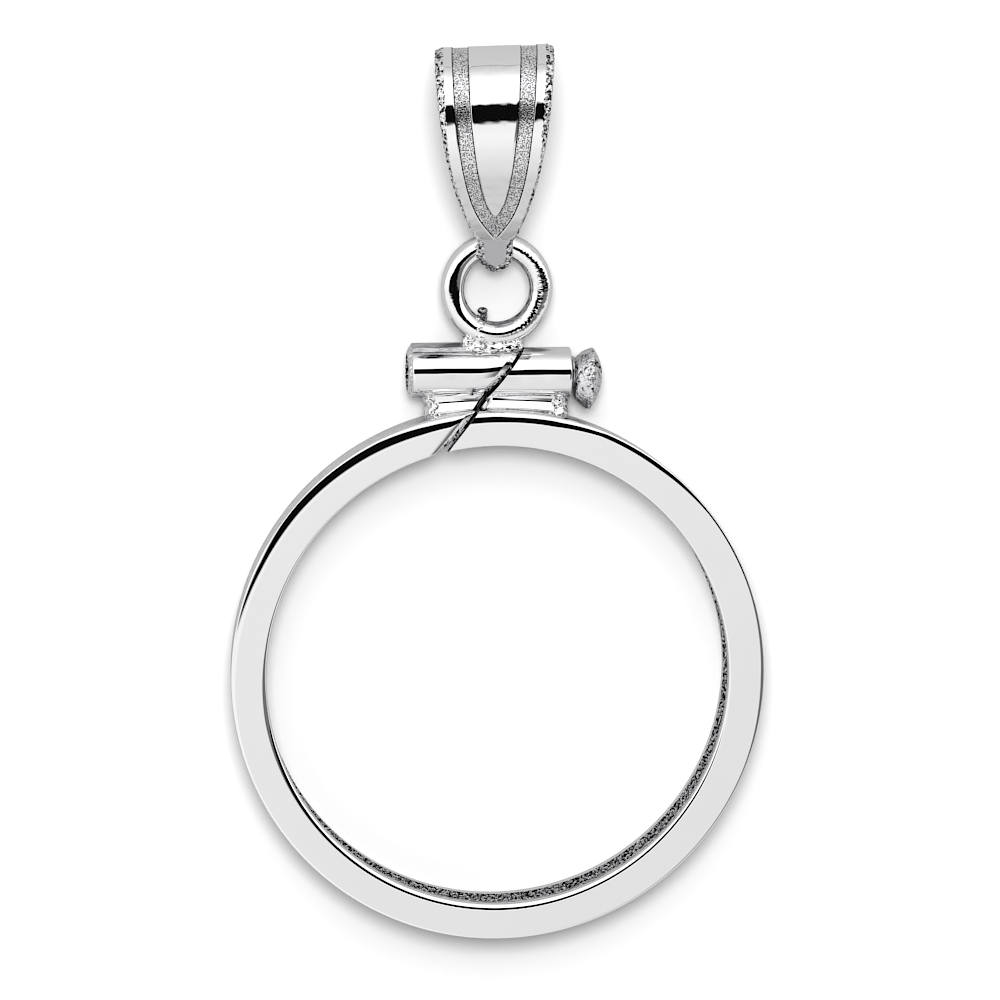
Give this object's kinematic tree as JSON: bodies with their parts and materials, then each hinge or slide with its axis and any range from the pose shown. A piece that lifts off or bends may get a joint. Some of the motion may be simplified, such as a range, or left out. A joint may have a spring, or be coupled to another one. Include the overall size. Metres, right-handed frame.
{
  "type": "coin bezel",
  "caption": "Screw-top coin bezel: a channel ring sawn through at a barrel, drawn shut by a slotted screw, with a jump ring and a tapered bail.",
  "frame": {"origin": "centre of the coin window, on the plane of the back lip, which the bezel lies on", "axes": "+Z out of the front of the coin window, +Y towards the bail, +X towards the screw's head"},
  "size_m": [0.0178, 0.0302, 0.005],
  "materials": {
    "polished_white_gold": "polished, rhodium plated white gold",
    "cast_white_gold": "satin, as cast white gold",
    "bail_white_gold": "polished white gold with sandblasted stripes"
  },
  "bodies": {
    "frame": {"bezel_frame": "polished_white_gold", "bail": "bail_white_gold"},
    "screw": {"screw": "cast_white_gold"}
  },
  "joints": [
    {"name": "screw_out", "type": "slide", "parent": "frame", "child": "screw", "axis": [1, 0, 0], "range_m": [0, 0.005]}
  ]
}
